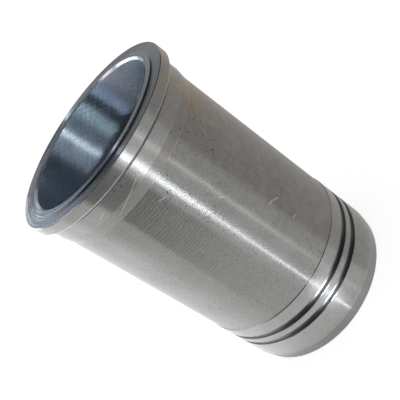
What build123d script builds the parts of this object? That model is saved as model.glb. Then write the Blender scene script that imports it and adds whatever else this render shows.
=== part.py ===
from build123d import *
from math import acos, atan2, degrees, hypot
import os

# A flanged wet cylinder liner, turned all over from one iron casting, standing on its lower end.
# Z is the axis of the bore and points to the flange. The origin is the centre of the lower end face.
# All sizes are in millimetres.

# Bore, and how far each surface stands out from the one it is turned on
bore_diameter = 108.0
barrel_wall = 8.25
lower_pilot_rise = 0.5
upper_pilot_rise = 1.25
flange_overhang = 4.0
fire_ring_width = 5.5

# Lengths along the axis
seat_height = 196.9
flange_thickness = 8.3
fire_ring_height = 1.0
upper_pilot_length = 11.8
shoulder_taper_length = 7.2
lower_pilot_length = 50.0

# Lead-in taper that guides the lower end into its hole
lead_in_length = 8.5
lead_in_depth = 1.45

# Seal grooves in the lower pilot, with a round bottom and walls that taper into it
first_groove_height = 28.1
groove_pitch = 9.5
groove_count = 2
groove_width = 4.5
groove_depth = 2.9
groove_bottom_radius = 2.1
groove_edge = 0.3

# Relief in the corner under the flange, so that the seat lies flat on the block. It also rises into
# the seat, and runs out on it clear of the pilot.
relief_width = 1.3
relief_depth = 0.7
relief_rise = 0.2
relief_reach = 0.4

# Broken and chamfered edges
bore_mouth_edge = 1.5
bore_exit_edge = 1.5
fire_ring_edge = 0.2
flange_top_edge = 0.5
flange_seat_edge = 1.2

# Radii and levels that follow from the sizes above
bore_radius = bore_diameter / 2
barrel_radius = bore_radius + barrel_wall
lower_pilot_radius = barrel_radius + lower_pilot_rise
upper_pilot_radius = barrel_radius + upper_pilot_rise
flange_radius = upper_pilot_radius + flange_overhang
fire_ring_radius = bore_radius + fire_ring_width
upper_pilot_base = seat_height - upper_pilot_length
relief_radius = upper_pilot_radius - relief_depth
relief_base = seat_height - relief_width
flange_face_height = seat_height + flange_thickness
top_height = flange_face_height + fire_ring_height

# How far a groove's cutter reaches out of its land, and the slack for finding an edge by its place
cutter_reach = 1.0
edge_slack = 0.01


def rim(body, radius, height):
    """The circular edge of this radius at this height."""
    circles = body.edges().filter_by(GeomType.CIRCLE)
    level = circles.filter_by_position(Axis.Z, height - edge_slack, height + edge_slack)
    return level.filter_by(lambda edge: abs(edge.radius - radius) < edge_slack)


def turned_outside():
    """The outside from the lead-in up to the fire ring, as one turned profile."""
    end_radius = lower_pilot_radius - lead_in_depth
    barrel_base = lower_pilot_length + lower_pilot_rise
    barrel_top = upper_pilot_base - shoulder_taper_length
    with BuildPart() as body:
        with BuildSketch(Plane.XZ):
            with BuildLine():
                Polyline(
                    (0, 0),
                    (end_radius, 0),
                    (lower_pilot_radius, lead_in_length),
                    (lower_pilot_radius, lower_pilot_length),
                    (barrel_radius, barrel_base),
                    (barrel_radius, barrel_top),
                    (upper_pilot_radius, upper_pilot_base),
                    (upper_pilot_radius, relief_base - relief_depth),
                    (relief_radius, relief_base),
                    (relief_radius, seat_height + relief_rise),
                    (upper_pilot_radius + relief_reach, seat_height),
                    (flange_radius, seat_height),
                    (flange_radius, flange_face_height),
                    (fire_ring_radius, flange_face_height),
                    (fire_ring_radius, top_height),
                    (0, top_height),
                    close=True,
                )
            make_face()
        revolve(axis=Axis.Z)
        chamfer(rim(body, flange_radius, seat_height), flange_seat_edge)
        chamfer(rim(body, flange_radius, flange_face_height), flange_top_edge)
        chamfer(rim(body, fire_ring_radius, top_height), fire_ring_edge)
    return body.part


def groove_middles():
    """The middle of each seal groove, as a height above the lower end face."""
    return [first_groove_height + number * groove_pitch for number in range(groove_count)]


def seal_groove(middle):
    """The ring to cut out of the lower pilot: a round bottom, walls tangent to it and broken edges."""
    low = middle - groove_width / 2
    high = middle + groove_width / 2
    wall_top = lower_pilot_radius - groove_edge
    round_centre = lower_pilot_radius - groove_depth + groove_bottom_radius
    wall_height = wall_top - round_centre
    mouth_angle = atan2(groove_width / 2, wall_height)
    tangent_angle = acos(groove_bottom_radius / hypot(groove_width / 2, wall_height))
    wall_start = degrees(mouth_angle + tangent_angle)
    flare = groove_edge + cutter_reach
    with BuildPart() as ring:
        with BuildSketch(Plane.XZ):
            with BuildLine():
                bottom = CenterArc(
                    (round_centre, middle), groove_bottom_radius, wall_start, 360 - 2 * wall_start
                )
                Polyline(
                    bottom @ 1,
                    (wall_top, low),
                    (wall_top + flare, low - flare),
                    (wall_top + flare, high + flare),
                    (wall_top, high),
                    bottom @ 0,
                )
            make_face()
        revolve(axis=Axis.Z)
    return ring.part


def bore():
    """What is bored out of the middle."""
    with BuildPart() as hollow:
        Cylinder(bore_radius, top_height, align=(Align.CENTER, Align.CENTER, Align.MIN))
    return hollow.part


def cylinder_liner():
    """The whole liner: the turned outside, less its grooves and bore, with the edges broken."""
    with BuildPart() as liner:
        add(turned_outside())
        for middle in groove_middles():
            add(seal_groove(middle), mode=Mode.SUBTRACT)
        add(bore(), mode=Mode.SUBTRACT)
        chamfer(rim(liner, bore_radius, top_height), bore_mouth_edge)
        chamfer(rim(liner, bore_radius, 0), bore_exit_edge)
    return liner.part


os.makedirs("parts", exist_ok=True)
export_step(cylinder_liner(), "parts/cylinder_liner.step")
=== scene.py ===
import bpy
import math
import numpy as np
from mathutils import Matrix, Vector

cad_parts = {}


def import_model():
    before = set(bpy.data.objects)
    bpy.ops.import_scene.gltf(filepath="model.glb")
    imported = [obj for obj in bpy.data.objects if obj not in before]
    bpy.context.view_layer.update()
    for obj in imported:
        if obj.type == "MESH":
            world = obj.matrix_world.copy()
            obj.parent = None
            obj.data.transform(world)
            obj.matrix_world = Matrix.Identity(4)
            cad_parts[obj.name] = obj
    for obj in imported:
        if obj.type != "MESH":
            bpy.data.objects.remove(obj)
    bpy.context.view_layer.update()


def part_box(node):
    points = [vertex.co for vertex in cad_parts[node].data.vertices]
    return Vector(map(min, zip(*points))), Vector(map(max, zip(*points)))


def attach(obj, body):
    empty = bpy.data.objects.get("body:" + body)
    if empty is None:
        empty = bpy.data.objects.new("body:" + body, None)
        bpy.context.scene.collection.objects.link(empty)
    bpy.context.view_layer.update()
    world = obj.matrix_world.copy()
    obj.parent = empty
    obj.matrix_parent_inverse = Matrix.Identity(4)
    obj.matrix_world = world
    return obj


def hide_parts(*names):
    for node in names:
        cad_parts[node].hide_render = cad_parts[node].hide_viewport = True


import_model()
liner_low, liner_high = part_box("cylinder_liner")

# ---- Sizes, in metres, from the frame's box -------------------------------------------------
MM = 0.001
top_height = liner_high.z
flange_radius = liner_high.x
upper_pilot_radius = flange_radius - 4.0 * MM
barrel_radius = upper_pilot_radius - 1.25 * MM
lower_pilot_radius = barrel_radius + 0.5 * MM
bore_radius = barrel_radius - 8.25 * MM
fire_ring_radius = bore_radius + 5.5 * MM
flange_face = top_height - 1.0 * MM
seat_height = flange_face - 8.3 * MM
upper_pilot_base = seat_height - 11.8 * MM
barrel_top = upper_pilot_base - 7.2 * MM
lower_pilot_top = 50.0 * MM
groove_middles = (28.1 * MM, 37.6 * MM)
groove_half = 2.25 * MM
groove_depth = 2.9 * MM
groove_round = 2.1 * MM
groove_edge = 0.3 * MM
relief_radius = upper_pilot_radius - 0.7 * MM
relief_base = seat_height - 1.3 * MM
mouth_edge = 1.5 * MM

TURNS = 384


# ---- Profile and lathe ----------------------------------------------------------------------
def groove_points(middle):
    """The corners of one groove from its low lip to its high lip, with the round bottom."""
    lip = lower_pilot_radius - groove_edge
    centre = lower_pilot_radius - groove_depth + groove_round
    rise = lip - centre
    start = math.atan2(groove_half, rise) + math.acos(groove_round / math.hypot(groove_half, rise))
    points = [(lower_pilot_radius, middle - groove_half - groove_edge, "ground", 0.08),
              (lip, middle - groove_half, "groove", 0.08)]
    steps = 14
    for i in range(steps + 1):
        a = -start - (2 * math.pi - 2 * start) * i / steps
        points.append((centre + groove_round * math.cos(a), middle + groove_round * math.sin(a), "groove", -1))
    points += [(lip, middle + groove_half, "groove", 0.08),
               (lower_pilot_radius, middle + groove_half + groove_edge, "ground", 0.08)]
    return points


def liner_profile():
    """Corners of the wall's section as (radius, height, material of the run that follows, edge radius in mm)."""
    p = [(bore_radius + mouth_edge, 0.0, "face", 0.2),
         (lower_pilot_radius - 1.45 * MM, 0.0, "lead", 0.3),
         (lower_pilot_radius, 8.5 * MM, "ground", 0.5)]
    for middle in groove_middles:
        p += groove_points(middle)
    p += [(lower_pilot_radius, lower_pilot_top, "taper", 0.12),
          (barrel_radius, lower_pilot_top + 0.5 * MM, "turned", 0.2),
          (barrel_radius, barrel_top, "taper", 0.5),
          (upper_pilot_radius, upper_pilot_base, "ground", 0.3),
          (upper_pilot_radius, relief_base - 0.7 * MM, "edge", 0.15),
          (relief_radius, relief_base, "edge", 0.3),
          (relief_radius, seat_height + 0.2 * MM, "edge", 0.15),
          (upper_pilot_radius + 0.4 * MM, seat_height, "face", 0.1),
          (flange_radius - 1.2 * MM, seat_height, "edge", 0.15),
          (flange_radius, seat_height + 1.2 * MM, "ground", 0.3),
          (flange_radius, flange_face - 0.5 * MM, "edge", 0.25),
          (flange_radius - 0.5 * MM, flange_face, "face", 0.25),
          (fire_ring_radius, flange_face, "ring", 0.15),
          (fire_ring_radius, top_height - 0.2 * MM, "ring", 0.1),
          (fire_ring_radius - 0.2 * MM, top_height, "ring", 0.1),
          (bore_radius + mouth_edge, top_height, "mouth", 0.3),
          (bore_radius, top_height - mouth_edge, "honed", 0.4),
          (bore_radius, mouth_edge, "mouth", 0.4)]
    return p


def rounded(corners):
    """Replaces each corner by a short arc. Returns runs of (start, end, start normal, end normal, material)."""
    n = len(corners)
    pts = [np.array(c[:2]) for c in corners]
    cuts = []
    for i in range(n):
        before, here, after = pts[i - 1], pts[i], pts[(i + 1) % n]
        radius = corners[i][3] * MM
        a, b = before - here, after - here
        la, lb = np.linalg.norm(a), np.linalg.norm(b)
        a, b = a / la, b / lb
        turn = math.acos(float(np.clip(np.dot(a, b), -1, 1)))
        if radius <= 0 or turn > math.pi - 0.02:
            cuts.append((here, here, None))
            continue
        reach = min(radius / math.tan(turn / 2), 0.4 * la, 0.4 * lb)
        cuts.append((here + a * reach, here + b * reach, turn))
    runs = []

    def side(start, end):
        d = (end - start) / np.linalg.norm(end - start)
        return np.array((d[1], -d[0]))

    for i in range(n):
        j = (i + 1) % n
        start, end = cuts[i][1], cuts[j][0]
        normal = side(start, end)
        runs.append([start, end, normal, normal, corners[i][2]])
    whole = []
    for i in range(n):
        j = (i + 1) % n
        whole.append(runs[i])
        first, last = cuts[j][0], cuts[j][1]
        n0, n1 = runs[i][2], runs[j][2]
        if cuts[j][2] is None:
            if corners[j][3] < 0:
                middle = (n0 + n1) / np.linalg.norm(n0 + n1)
                runs[i][3] = middle
                runs[j][2] = middle
            continue
        steps = 4
        corner = pts[j]
        previous, pn = first, n0
        for s in range(1, steps + 1):
            t = s / steps
            q = (1 - t) ** 2 * first + 2 * t * (1 - t) * corner + t ** 2 * last
            m = (1 - t) * n0 + t * n1
            m = m / np.linalg.norm(m)
            whole.append([previous, q, pn, m, "edge" if corners[j][2] not in ("honed", "mouth") else corners[j][2]])
            previous, pn = q, m
    return whole


def lathe(name, runs, materials):
    """Turns the runs round Z into a closed skin whose normals follow the profile exactly."""
    starts = np.array([r[0] for r in runs])
    angles = np.arange(TURNS) * 2 * math.pi / TURNS
    ca, sa = np.cos(angles), np.sin(angles)
    count = len(runs)
    verts = np.stack([starts[:, 0][:, None] * ca, starts[:, 0][:, None] * sa,
                      np.repeat(starts[:, 1][:, None], TURNS, 1)], -1).reshape(-1, 3)
    k, t = np.meshgrid(np.arange(count), np.arange(TURNS), indexing="ij")
    k1, t1 = (k + 1) % count, (t + 1) % TURNS
    faces = np.stack([k * TURNS + t, k * TURNS + t1, k1 * TURNS + t1, k1 * TURNS + t], -1).reshape(-1, 4)
    mesh = bpy.data.meshes.new(name)
    mesh.from_pydata(verts.tolist(), [], faces.tolist())
    names = list(materials)
    for key in names:
        mesh.materials.append(materials[key])
    index = np.repeat([names.index(r[4]) for r in runs], TURNS)
    mesh.polygons.foreach_set("material_index", index.astype(np.int32))
    mesh.polygons.foreach_set("use_smooth", np.ones(len(index), bool))
    n0 = np.array([r[2] for r in runs])
    n1 = np.array([r[3] for r in runs])
    a0, a1 = angles[t], angles[t1]
    corner = []
    for normal, angle in ((n0, a0), (n0, a1), (n1, a1), (n1, a0)):
        nr = np.repeat(normal[:, 0][:, None], TURNS, 1)
        nz = np.repeat(normal[:, 1][:, None], TURNS, 1)
        corner.append(np.stack([nr * np.cos(angle), nr * np.sin(angle), nz], -1))
    normals = np.stack(corner, 2).reshape(-1, 3)
    mesh.validate()
    mesh.normals_split_custom_set(normals.tolist())
    obj = bpy.data.objects.new(name, mesh)
    bpy.context.scene.collection.objects.link(obj)
    return obj


# ---- Materials ------------------------------------------------------------------------------
class Nodes:
    """A short way to write node trees."""

    def __init__(self, tree):
        self.tree = tree

    def add(self, kind, inputs=None, **settings):
        node = self.tree.nodes.new(kind)
        for key, value in settings.items():
            setattr(node, key, value)
        for key, value in (inputs or {}).items():
            self.put(node.inputs[key], value)
        return node

    def put(self, socket, value):
        if isinstance(value, bpy.types.NodeSocket):
            self.tree.links.new(value, socket)
        else:
            socket.default_value = value

    def math(self, operation, a, b=0.0, c=0.0):
        node = self.add("ShaderNodeMath", operation=operation)
        for socket, value in zip(node.inputs, (a, b, c)):
            self.put(socket, value)
        return node.outputs[0]

    def ramp(self, value, low, high, out_low=0.0, out_high=1.0):
        node = self.add("ShaderNodeMapRange", interpolation_type="SMOOTHSTEP")
        for key, item in (("Value", value), ("From Min", low), ("From Max", high), ("To Min", out_low), ("To Max", out_high)):
            self.put(node.inputs[key], item)
        return node.outputs[0]

    def noise(self, vector, scale, detail=2.0, rough=0.5):
        return self.add("ShaderNodeTexNoise", {"Vector": vector, "Scale": scale, "Detail": detail, "Roughness": rough}).outputs[0]

    def mix(self, factor, a, b):
        node = self.add("ShaderNodeMix", data_type="RGBA")
        self.put(node.inputs["Factor"], factor)
        self.put(node.inputs["A"], a)
        self.put(node.inputs["B"], b)
        return node.outputs["Result"]

    def scaled(self, vector, factors):
        return self.add("ShaderNodeVectorMath", {0: vector, 1: factors}, operation="MULTIPLY").outputs[0]


class Surface:
    """Shared coordinates of a turned surface: angle, radius and the way along its section."""

    def __init__(self, n):
        self.n = n
        self.place = n.add("ShaderNodeTexCoord").outputs["Object"]
        xyz = n.add("ShaderNodeSeparateXYZ", {0: self.place})
        self.x, self.y, self.z = xyz.outputs[0], xyz.outputs[1], xyz.outputs[2]
        flat = n.scaled(self.place, (1.0, 1.0, 0.0))
        self.radius = n.add("ShaderNodeVectorMath", {0: flat}, operation="LENGTH").outputs["Value"]
        self.normal = n.add("ShaderNodeNewGeometry").outputs["Normal"]
        round_way = n.add("ShaderNodeCombineXYZ", {0: n.math("MULTIPLY", self.y, -1.0), 1: self.x})
        self.around = n.add("ShaderNodeVectorMath", {0: round_way.outputs[0]}, operation="NORMALIZE").outputs[0]
        self.along = n.add("ShaderNodeVectorMath", {0: self.normal, 1: self.around}, operation="CROSS_PRODUCT").outputs[0]
        self.section = n.math("ADD", self.z, n.math("MULTIPLY", self.radius, 0.7))

    def angle(self, zero_at_back=False):
        """The angle round Z in degrees: 0 towards -Y, or towards +Y, growing to +X."""
        n = self.n
        side = self.y if zero_at_back else n.math("MULTIPLY", self.y, -1.0)
        return n.math("MULTIPLY", n.math("ARCTAN2", self.x, side), 180.0 / math.pi)

    def fine_lines(self, pitch, length, detail=1.0):
        """Noise drawn out round the axis, with one line for each pitch, both in metres. From about -1 to 1."""
        n = self.n
        point = n.add("ShaderNodeCombineXYZ", {0: n.math("DIVIDE", self.x, length), 1: n.math("DIVIDE", self.y, length), 2: n.math("DIVIDE", self.section, pitch)})
        return n.math("MULTIPLY", n.math("SUBTRACT", n.noise(point.outputs[0], 1.0, detail), 0.5), 3.0)

    def tool_lines(self, pitch):
        """The even marks of a turning tool, a little wavy and uneven in depth. From about -1 to 1."""
        n = self.n
        sway = n.math("SUBTRACT", n.noise(self.place, 70.0, 2.0), 0.5)
        phase = n.math("ADD", n.math("DIVIDE", self.section, pitch), n.math("MULTIPLY", sway, 1.2))
        wave = n.math("SINE", n.math("MULTIPLY", phase, 2.0 * math.pi))
        depth = n.ramp(n.noise(n.scaled(self.place, (1.0, 1.0, 2.2)), 85.0, 2.0), 0.30, 0.72, 0.15, 1.6)
        return n.math("MULTIPLY", wave, depth)

    def helix_noise(self, pitch, lead):
        """Noise drawn out along a helix whose lead is in radians for each metre of height."""
        n = self.n
        turn = n.add("ShaderNodeVectorRotate", {"Vector": self.place, "Angle": n.math("MULTIPLY", self.z, lead)}, rotation_type="Z_AXIS")
        point = n.scaled(turn.outputs[0], (1.0 / pitch, 1.0 / pitch, 30.0))
        return n.math("MULTIPLY", n.math("SUBTRACT", n.noise(point, 1.0, 1.0), 0.5), 3.0)

    def tilted(self, along, around=None):
        """The normal, tilted along the section and round the axis by these slopes."""
        n = self.n
        moved = n.add("ShaderNodeVectorMath", {0: self.along}, operation="SCALE")
        n.put(moved.inputs["Scale"], along)
        total = n.add("ShaderNodeVectorMath", {0: self.normal, 1: moved.outputs[0]}, operation="ADD").outputs[0]
        if around is not None:
            aside = n.add("ShaderNodeVectorMath", {0: self.around}, operation="SCALE")
            n.put(aside.inputs["Scale"], around)
            total = n.add("ShaderNodeVectorMath", {0: total, 1: aside.outputs[0]}, operation="ADD").outputs[0]
        return n.add("ShaderNodeVectorMath", {0: total}, operation="NORMALIZE").outputs[0]


def metal(name, colour, roughness, anisotropy, fine=(0.35, 0.12), tool=(2.7, 0.03), grain=0.10, mottle=0.0, pits=0.0, hone=None, scratches=(), painted_bronze_reflection=False, rings=None, worn=False):
    """A turned, ground or honed iron surface.
    fine and tool are the pitch of its lines in millimetres and their slope, hone the pitch and slope of a cross
    hatch, and rings the pitch and strength of lighter and darker lines."""
    material = bpy.data.materials.new(name)
    material.use_nodes = True
    tree = material.node_tree
    tree.nodes.clear()
    n = Nodes(tree)
    s = Surface(n)
    shader = n.add("ShaderNodeBsdfPrincipled", {"Metallic": 1.0, "Anisotropic": anisotropy, "Anisotropic Rotation": 0.25})
    out = n.add("ShaderNodeOutputMaterial")
    tree.links.new(shader.outputs[0], out.inputs[0])
    tangent = n.add("ShaderNodeTangent", direction_type="RADIAL", axis="Z")
    n.put(shader.inputs["Tangent"], tangent.outputs[0])

    marks = s.tool_lines(tool[0] * MM)
    if worn:
        phi = s.angle()
        marks = n.math("MULTIPLY", marks, n.math("MULTIPLY", n.ramp(phi, -40.0, -28.0, 0.3, 1.0), n.ramp(phi, 0.0, 18.0, 1.0, 0.25)))
    narrow = s.fine_lines(fine[0] * MM, 0.030)
    along = n.math("ADD", n.math("MULTIPLY", marks, tool[1]), n.math("MULTIPLY", narrow, fine[1]))
    level = n.math("ADD", 1.0, n.math("MULTIPLY", marks, tool[1] * -0.6))
    level = n.math("ADD", level, n.math("MULTIPLY", narrow, fine[1] * 0.5))
    if rings:
        broad = s.fine_lines(rings[0] * MM, 0.040, 2.0)
        level = n.math("ADD", level, n.math("MULTIPLY", broad, rings[1]))
    if hone:
        one = s.helix_noise(hone[0] * MM, 32.0)
        two = s.helix_noise(hone[0] * MM, -32.0)
        hatch = n.math("MULTIPLY", n.math("ADD", one, two), n.ramp(n.noise(s.place, 32.0, 2.0), 0.38, 0.62, 0.45, 1.3))
        back = s.angle(zero_at_back=True)
        hatch = n.math("MULTIPLY", hatch, n.ramp(back, -36.0, -20.0, 0.2, 1.0))
        # Painted highlight: in a band of angles just past the back of the bore, about 2 to 24 degrees, the hatch's
        # glitter is made much lighter in the colour, standing in for a bright reflection there.
        painted_glint_band = n.math("MULTIPLY", n.ramp(back, 2.0, 9.0, 0.7, 2.6), n.ramp(back, 17.0, 24.0, 1.0, 0.27))
        along = n.math("ADD", along, n.math("MULTIPLY", hatch, hone[1]))
        around = n.math("MULTIPLY", n.math("SUBTRACT", one, two), hone[1] * 0.16)
        n.put(shader.inputs["Normal"], s.tilted(along, around))
        painted_glitter = n.math("MULTIPLY", n.math("MAXIMUM", n.math("SUBTRACT", hatch, 0.3), 0.0), painted_glint_band)
        level = n.math("ADD", level, n.math("MAXIMUM", n.math("MULTIPLY", hatch, hone[1] * 2.6), -0.4))
        level = n.math("ADD", level, n.math("MULTIPLY", painted_glitter, hone[1] * 8.0))
    else:
        n.put(shader.inputs["Normal"], s.tilted(along))

    cloud = n.math("SUBTRACT", n.noise(s.place, 38.0, 3.0), 0.5)
    speck = n.math("SUBTRACT", n.noise(s.place, 1100.0, 2.0), 0.5)
    level = n.math("ADD", level, n.math("MULTIPLY", cloud, 0.35))
    level = n.math("ADD", level, n.math("MULTIPLY", speck, grain * 6.0))
    if mottle:
        patch = n.math("SUBTRACT", n.noise(s.place, 190.0, 3.0), 0.5)
        patch = n.math("MULTIPLY", patch, n.ramp(s.angle(), 5.0, 25.0, 0.35, 1.0))
        level = n.math("ADD", level, n.math("MULTIPLY", patch, mottle))
    rough = n.math("ADD", roughness, n.math("MULTIPLY", cloud, 0.08))
    if pits:
        many = n.ramp(n.noise(s.place, 30.0, 2.0), 0.44, 0.62)
        dots = n.ramp(n.noise(s.place, 700.0, 1.0), 0.685, 0.735)
        spot = n.math("MULTIPLY", n.math("MULTIPLY", many, dots), pits)
        level = n.math("MULTIPLY", level, n.math("SUBTRACT", 1.0, spot))
    tint = n.add("ShaderNodeVectorMath", {0: colour}, operation="SCALE")
    n.put(tint.inputs["Scale"], level)
    base = tint.outputs[0]
    # Painted reflection: high on the wall's right side, at angles of about 34 to 84 degrees and heights of 135 to 178
    # mm, the colour is shifted to a browner tint in noisy patches, standing in for a brownish reflection there.
    if painted_bronze_reflection:
        phi = s.angle()
        bronze_reflection_patch = n.math("MULTIPLY", n.ramp(phi, 34.0, 52.0), n.ramp(phi, 66.0, 84.0, 1.0, 0.0))
        bronze_reflection_patch = n.math("MULTIPLY", bronze_reflection_patch, n.ramp(s.z, 0.135, 0.178))
        bronze_reflection_patch = n.math("MULTIPLY", bronze_reflection_patch, n.ramp(n.noise(n.scaled(s.place, (1.0, 1.0, 1.8)), 60.0, 3.0), 0.42, 0.60, 0.15, 1.0))
        base = n.mix(bronze_reflection_patch, base, n.scaled(base, (1.20, 0.96, 0.72)))
    if scratches:
        lines = None
        arc = n.math("MULTIPLY", s.angle(), barrel_radius * math.pi / 180.0)
        for (phi0, z0, phi1, z1, bow, width, strength) in scratches:
            mark = n.math("MULTIPLY", scratch(n, arc, s.z, phi0, z0, phi1, z1, bow, width), strength)
            lines = mark if lines is None else n.math("MAXIMUM", lines, mark)
        base = n.mix(lines, base, (0.92, 0.92, 0.91, 1.0))
        rough = n.math("ADD", rough, n.math("MULTIPLY", lines, 0.3))
    n.put(shader.inputs["Base Color"], base)
    n.put(shader.inputs["Roughness"], rough)
    return material


def scratch(n, arc, z, phi0, z0, phi1, z1, bow, width):
    """How far a point lies inside one scratch, drawn from angle and height to angle and height, with a bow, in mm."""
    k = barrel_radius / MM * math.pi / 180.0
    ax, ay, bx, by = phi0 * k, z0, phi1 * k, z1
    length = math.hypot(bx - ax, by - ay)
    ux, uy = (bx - ax) / length, (by - ay) / length
    dx = n.math("SUBTRACT", n.math("DIVIDE", arc, MM), ax)
    dy = n.math("SUBTRACT", n.math("DIVIDE", z, MM), ay)
    t = n.math("DIVIDE", n.math("ADD", n.math("MULTIPLY", dx, ux), n.math("MULTIPLY", dy, uy)), length)
    side = n.math("SUBTRACT", n.math("MULTIPLY", dy, ux), n.math("MULTIPLY", dx, uy))
    curve = n.math("MULTIPLY", n.math("MULTIPLY", t, n.math("SUBTRACT", 1.0, t)), 4.0 * bow)
    off = n.math("ABSOLUTE", n.math("SUBTRACT", side, curve))
    inside = n.math("MULTIPLY", n.ramp(t, 0.0, 0.12), n.ramp(t, 0.88, 1.0, 1.0, 0.0))
    return n.math("MULTIPLY", n.ramp(off, width * 0.3, width, 1.0, 0.0), inside)


SCRATCHES = (
    (-9.7, 168.9, -5.1, 166.7, -0.3, 0.50, 1.0),
    (9.7, 138.0, 11.8, 134.5, 0.3, 0.50, 1.0),
    (23.0, 104.2, 30.8, 98.3, 0.9, 0.62, 1.0),
    (24.9, 82.8, 28.8, 81.6, 0.2, 0.50, 1.0),
    (-28.0, 180.6, -4.5, 188.6, 0.0, 0.35, 0.37),
    (-36.0, 187.5, -30.5, 189.5, -0.2, 0.3, 0.41),
)
materials = {
    "ground": metal("ground_iron", (0.275, 0.273, 0.267), 0.27, 0.78, (0.4, 0.05), (1.8, 0.010), grain=0.08, mottle=0.3, pits=0.5, painted_bronze_reflection=True, scratches=SCRATCHES[4:], rings=(0.9, 0.04)),
    "turned": metal("turned_iron", (0.25, 0.247, 0.24), 0.27, 1.0, (0.6, 0.045), (2.2, 0.038), grain=0.12, mottle=0.40, pits=0.95, painted_bronze_reflection=True, scratches=SCRATCHES[:4], worn=True),
    "taper": metal("taper_iron", (0.235, 0.229, 0.22), 0.30, 0.9, (0.5, 0.10), (2.0, 0.02), pits=0.7, painted_bronze_reflection=True, scratches=SCRATCHES[4:5]),
    "lead": metal("lead_iron", (0.24, 0.236, 0.23), 0.32, 0.9, (0.35, 0.12), (2.0, 0.02)),
    # groove_iron_painted_shade is much darker than the lands' iron: painted shade in the grooves.
    "groove": metal("groove_iron_painted_shade", (0.15, 0.15, 0.156), 0.34, 0.6, (0.3, 0.05), (1.0, 0.02)),
    "edge": metal("edge_iron", (0.42, 0.42, 0.42), 0.25, 0.6, (0.3, 0.03), (2.0, 0.0)),
    # faced_iron_painted_shade and fire_ring_iron_painted_shade are darker and bluer than the wall's iron: painted
    # shade standing in for the end face's dark reflection.
    "face": metal("faced_iron_painted_shade", (0.16, 0.165, 0.178), 0.22, 1.0, (0.6, 0.20), (1.1, 0.02), grain=0.12, rings=(0.9, 0.25)),
    "ring": metal("fire_ring_iron_painted_shade", (0.18, 0.192, 0.208), 0.20, 0.95, (0.6, 0.18), (1.1, 0.03), grain=0.25, rings=(0.7, 0.25)),
    # mouth_iron_painted_highlight is far lighter than the rest of the iron: a painted highlight, so that the bore's
    # edge chamfers show white.
    "mouth": metal("mouth_iron_painted_highlight", (0.60, 0.61, 0.63), 0.20, 0.5, (0.3, 0.03), (2.0, 0.0)),
    # honed_finish_and_painted_light is lighter and bluer than the other iron: partly a brighter honed finish, partly
    # painted light standing in for the bluish light reflected inside the bore.
    "honed": metal("honed_finish_and_painted_light", (0.42, 0.47, 0.52), 0.35, 0.97, (0.35, 0.04), (3.0, 0.0), grain=0.22, hone=(1.1, 0.19)),
}

liner = lathe("liner_skin", rounded(liner_profile()), materials)
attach(liner, "root")
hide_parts("cylinder_liner")


# ---- Studio ---------------------------------------------------------------------------------
def bright_material(name, colour, strength, least=None, clear=False):
    """A glowing studio sheet. Where least is given, it lights only what is further from it than this, and is black,
    or clear, to what is nearer."""
    material = bpy.data.materials.new(name)
    material.use_nodes = True
    tree = material.node_tree
    tree.nodes.clear()
    n = Nodes(tree)
    tint = (*colour, 1.0)
    if least:
        far = n.ramp(n.add("ShaderNodeLightPath").outputs["Ray Length"], least - 0.005, least + 0.005)
    if least and not clear:
        tint = n.mix(far, (0.0, 0.0, 0.0, 1.0), tint)
    glow = n.add("ShaderNodeEmission", {"Color": tint, "Strength": strength})
    if clear:
        both = n.add("ShaderNodeMixShader", {0: far})
        tree.links.new(n.add("ShaderNodeBsdfTransparent").outputs[0], both.inputs[1])
        tree.links.new(glow.outputs[0], both.inputs[2])
        glow = both
    out = n.add("ShaderNodeOutputMaterial")
    tree.links.new(glow.outputs[0], out.inputs[0])
    return material


def strip_mesh(name, rows, material):
    """A hidden studio sheet through rows of points, each row being one cut across it."""
    verts = [point for row in rows for point in row]
    width = len(rows[0])
    faces = [(i * width + j, i * width + j + 1, (i + 1) * width + j + 1, (i + 1) * width + j)
             for i in range(len(rows) - 1) for j in range(width - 1)]
    mesh = bpy.data.meshes.new(name)
    mesh.from_pydata(verts, [], faces)
    mesh.materials.append(material)
    obj = bpy.data.objects.new(name, mesh)
    bpy.context.scene.collection.objects.link(obj)
    hide(obj)
    return obj


def card(name, azimuths, heights, distance, colour, strength, least=None):
    """An upright studio card on an arc round the liner, seen only in its reflections."""
    first, last = azimuths
    steps = max(2, int(abs(last - first) / 5))
    rows = []
    for i in range(steps + 1):
        a = math.radians(first + (last - first) * i / steps)
        rows.append([(distance * math.sin(a), -distance * math.cos(a), h) for h in heights])
    return strip_mesh(name, rows, bright_material(name, colour, strength, least))


def mirrored(phi, reach):
    """The point that lies this far along the camera's ray, in plan, after its reflection at the wall's angle phi."""
    a = math.radians(phi)
    x, y = barrel_radius * math.sin(a), -barrel_radius * math.cos(a)
    away = 2.0 * a + math.atan2(x, camera_distance + y)
    return x + reach * math.sin(away), y - reach * math.cos(away)


def curtain(name, left, right, colour, floor_strength, strength, reach=0.5, top=0.25, foot=0.001):
    """A sheet that lies on the floor from the wall outwards and then stands up, seen only in the wall's reflections.
    left and right are the wall's angles where its reflection ends, high on the wall and low on it."""
    steps = max(1, int(abs(right[0] - left[0]) / 2.5))
    lying, standing = [], []
    for i in range(steps + 1):
        t = i / steps
        high = left[0] + (right[0] - left[0]) * t
        low = left[1] + (right[1] - left[1]) * t
        half = 0.5 * (high + low)
        lying.append([(*mirrored(low, 0.010), 0.001), (*mirrored(half, 0.12), 0.001), (*mirrored(high, reach), 0.001)])
        standing.append([(*mirrored(high, reach), foot), (*mirrored(high, reach), top)])
    if floor_strength is not None:
        strip_mesh(name + "_floor", lying, bright_material(name + "_floor", colour, floor_strength))
    strip_mesh(name, standing, bright_material(name, colour, strength))


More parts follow.
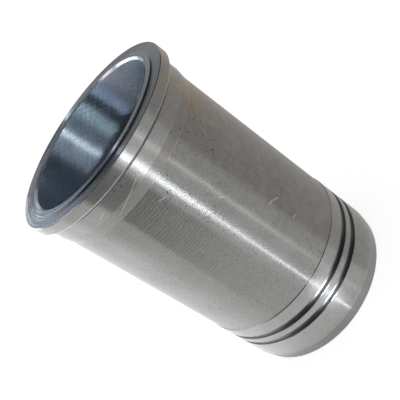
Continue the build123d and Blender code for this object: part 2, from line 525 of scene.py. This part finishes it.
def taper_glow(name, angles, reaches, colour, strength, least):
    """A patch over the floor for the shoulder taper's reflection alone, which is the only one that comes from so far."""
    rows = [[(*mirrored(phi, reach), 0.0015) for reach in reaches] for phi in angles]
    return strip_mesh(name, rows, bright_material(name, colour, strength, least, True))


def visor(name, azimuths, radii, height, strength):
    """A level sheet round the liner just above its end face, which keeps the bore's lights off the outer wall."""
    first, last = azimuths
    steps = int((last - first) / 5)
    rows = []
    for i in range(steps + 1):
        a = math.radians(first + (last - first) * i / steps)
        rows.append([(r * math.sin(a), -r * math.cos(a), height) for r in radii])
    return strip_mesh(name, rows, bright_material(name, WHITE, strength))


def floor_disc(name, radius, height, strength):
    """A dark disc inside the foot of the bore, seen only in its reflections: painted shade that stands in for the
    shade which falls there.
    """
    rows = [[(radius * math.cos(math.radians(a)) * k, radius * math.sin(math.radians(a)) * k, height) for k in (0.0, 1.0)] for a in range(0, 361, 10)]
    return strip_mesh(name, rows, bright_material(name, WHITE, strength))


def ceiling(name, radius, height, colour, strength):
    verts = [(radius * math.cos(math.radians(a)), radius * math.sin(math.radians(a)), height) for a in range(0, 360, 10)]
    mesh = bpy.data.meshes.new(name)
    mesh.from_pydata(verts, [], [tuple(range(len(verts)))])
    mesh.materials.append(bright_material(name, colour, strength))
    obj = bpy.data.objects.new(name, mesh)
    bpy.context.scene.collection.objects.link(obj)
    hide(obj)
    return obj


def hide(obj):
    obj.visible_camera = False
    obj.visible_diffuse = False
    obj.visible_shadow = False
    obj.visible_transmission = False
    obj.visible_volume_scatter = False


def lamp(name, azimuth, distance, height, watts, colour, target, cone):
    """A small lamp that lights only a cone of so many degrees round its target."""
    light = bpy.data.lights.new(name, "SPOT")
    light.energy = watts
    light.color = colour
    light.spot_size = math.radians(cone)
    light.spot_blend = 0.6
    light.shadow_soft_size = 0.004
    obj = bpy.data.objects.new(name, light)
    a = math.radians(azimuth)
    obj.location = (distance * math.sin(a), -distance * math.cos(a), height)
    aim = Vector(target) - obj.location
    obj.rotation_euler = aim.to_track_quat("-Z", "Y").to_euler()
    bpy.context.scene.collection.objects.link(obj)
    return obj


def seen_or_mirrored(n):
    """1 for rays from the camera, off a gloss or through glass."""
    path = n.add("ShaderNodeLightPath")
    return n.math("MAXIMUM", n.math("MAXIMUM", path.outputs["Is Camera Ray"], path.outputs["Is Glossy Ray"]), path.outputs["Is Transmission Ray"])


def floor():
    size = 30.0
    mesh = bpy.data.meshes.new("floor")
    mesh.from_pydata([(-size, -size, -0.0001), (size, -size, -0.0001), (size, size, -0.0001), (-size, size, -0.0001)], [], [(0, 1, 2, 3)])
    material = bpy.data.materials.new("pale_floor")
    material.use_nodes = True
    tree = material.node_tree
    tree.nodes.clear()
    n = Nodes(tree)
    paint = n.add("ShaderNodeBsdfDiffuse", {"Color": (0.9, 0.9, 0.9, 1.0)})
    glow = n.add("ShaderNodeEmission", {"Color": (1, 1, 1, 1), "Strength": n.math("MULTIPLY", seen_or_mirrored(n), 0.66)})
    both = n.add("ShaderNodeAddShader")
    tree.links.new(paint.outputs[0], both.inputs[0])
    tree.links.new(glow.outputs[0], both.inputs[1])
    out = n.add("ShaderNodeOutputMaterial")
    tree.links.new(both.outputs[0], out.inputs[0])
    mesh.materials.append(material)
    obj = bpy.data.objects.new("floor", mesh)
    bpy.context.scene.collection.objects.link(obj)


def world():
    w = bpy.data.worlds.new("studio")
    bpy.context.scene.world = w
    w.use_nodes = True
    tree = w.node_tree
    tree.nodes.clear()
    n = Nodes(tree)
    colour = n.mix(seen_or_mirrored(n), (0.45, 0.45, 0.45, 1.0), (1.0, 1.0, 1.0, 1.0))
    back = n.add("ShaderNodeBackground", {"Color": colour, "Strength": 1.0})
    out = n.add("ShaderNodeOutputWorld")
    tree.links.new(back.outputs[0], out.inputs[0])


world()
floor()
COOL = (0.88, 0.95, 1.0)
WARM = (1.0, 0.97, 0.94)
WHITE = (1.0, 1.0, 1.0)
KEY = (0.90, 0.95, 1.0)
camera_distance = 0.40664
PALE_BLUE = (0.92, 0.96, 1.0)
curtain("right", (23.6, 24.2), (82, 82), WARM, 0.70, 0.58)
curtain("front_left", (-28.2, -32.5), (-6.0, -6.0), WHITE, 1.3, 0.37, 0.30, 0.05)
curtain("front_left_high", (-28.2, -32.5), (-6.0, -6.0), WHITE, None, 0.29, 0.30, 0.25, 0.05)
curtain("front_middle", (-6.0, -6.0), (4.5, 4.5), WHITE, 1.3, 1.2)
curtain("front_right", (4.5, 4.5), (14.0, 14.0), WHITE, 1.15, 1.15)
curtain("front_right_low", (14.0, 14.0), (23.6, 24.2), WHITE, 1.0, 0.9)
curtain("left_near", (-45, -45), (-28.2, -32.5), WHITE, 1.35, 1.0)
curtain("left_far", (-82, -82), (-45, -45), (0.97, 0.985, 1.0), 1.6, 1.45)
curtain("key_strip", (-0.55, -0.55), (0.55, 0.55), KEY, 6.2, 3.2, 0.22, 0.084)
curtain("key_strip_top", (-1.8, -1.8), (2.0, 2.0), KEY, None, 12.0, 0.22, 0.125, 0.088)
curtain("key_glow", (-2.1, -2.1), (2.1, 2.1), KEY, None, 2.0, 0.225, 0.084, 0.064)
curtain("key_strip_end", (-0.35, -0.35), (0.35, 0.35), KEY, None, 9.0, 0.22, 0.195, 0.125)
taper_glow("taper_key", (-1.8, 0.1, 2.0), (0.125, 0.178), KEY, 14.0, 0.215)
curtain("second_strip", (10.9, 10.9), (12.2, 12.2), WHITE, 2.6, 2.9, 0.45)
card("upper_left_a", (-148, -125), (0.40, 0.8), 0.75, (0.96, 0.96, 1.0), 2.0)
card("upper_left_b", (-125, -92), (0.5, 1.4), 0.75, (1.0, 0.92, 1.0), 1.5)
card("upper_left_b_low", (-125, -92), (0.25, 0.38), 0.75, (1.0, 0.92, 1.0), 2.2)
card("upper_left_c", (-92, -68), (0.25, 0.38), 0.75, (1.0, 0.90, 0.98), 2.2)
card("upper_blue", (-68, -50), (0.41, 0.435), 0.75, (0.60, 0.74, 1.0), 50.0, 0.8)
card("upper_teal", (-31, -11), (0.41, 0.435), 0.75, (0.70, 0.92, 1.0), 56.0, 0.8)
card("upper_front_a", (-11, 18.2), (0.41, 0.435), 0.75, (0.68, 0.85, 1.0), 17.0, 0.8)
card("upper_front_b", (19.2, 52), (0.41, 0.435), 0.75, (0.72, 0.86, 1.0), 30.0, 0.8)
card("bore_strip", (18.2, 19.2), (0.395, 0.419), 0.7, KEY, 1080.0, 0.75)
card("upper_right", (54, 140), (0.25, 1.2), 0.75, COOL, 0.12)
card("upper_band", (-68, 54), (0.25, 0.5), 0.76, COOL, 0.05)
card("upper_dome", (-148, 54), (0.5, 1.2), 0.77, COOL, 0.05)
for number, (first, last, strength) in enumerate(((140, 160, 0.45), (160, 168, 0.7), (168, 174, 0.5), (174, 178.9, 0.6), (178.9, 179.5, 1.6),
                                                   (179.5, 180.2, 3.4), (180.2, 180.8, 0.3), (180.8, 185, 0.35), (185, 194.5, 0.5), (194.5, 195.3, 4.0), (195.3, 212, 1.8))):
    card("back_%d" % number, (first, last), (0.0, 1.2), 0.78, (0.96, 0.97, 0.97) if last < 179 else (0.78, 0.89, 1.0), strength)
visor("visor_front", (-75, 75), (0.0695, 0.70), 0.2085, 0.05)
visor("visor_far_left", (-150, -125), (0.0695, 0.70), 0.2085, 0.8)
visor("visor_left", (-125, -75), (0.0695, 0.70), 0.2085, 2.4)
visor("visor_right", (75, 140), (0.0695, 0.70), 0.2085, 0.45)
# Painted shade at the foot of the bore, seen only in reflections.
floor_disc("bore_floor_painted_shade", 0.0535, 0.002, 0.01)
ceiling("ceiling", 0.85, 1.2, COOL, 0.2)
lamp("spark", 0.0, 0.35, 0.14, 11.0, KEY, (0, -0.063, 0.033), 6.0)

# ---- Camera ---------------------------------------------------------------------------------
camera_data = bpy.data.cameras.new("camera")
camera_data.sensor_width = 36.0
camera_data.lens = 61.244
camera = bpy.data.objects.new("camera", camera_data)
right = Vector((0.556771, -0.390211, -0.733308))
up = Vector((0.830621, 0.252319, 0.496392))
forward = Vector((0.00867, 0.885478, -0.464601))
turn = Matrix((right, up, -forward)).transposed()
camera.matrix_world = Matrix.Translation((0.0, -0.40664, 0.32843)) @ turn.to_4x4()
camera_data.clip_start = 0.01
bpy.context.scene.collection.objects.link(camera)
bpy.context.scene.camera = camera

bpy.context.scene.view_settings.view_transform = "Standard"
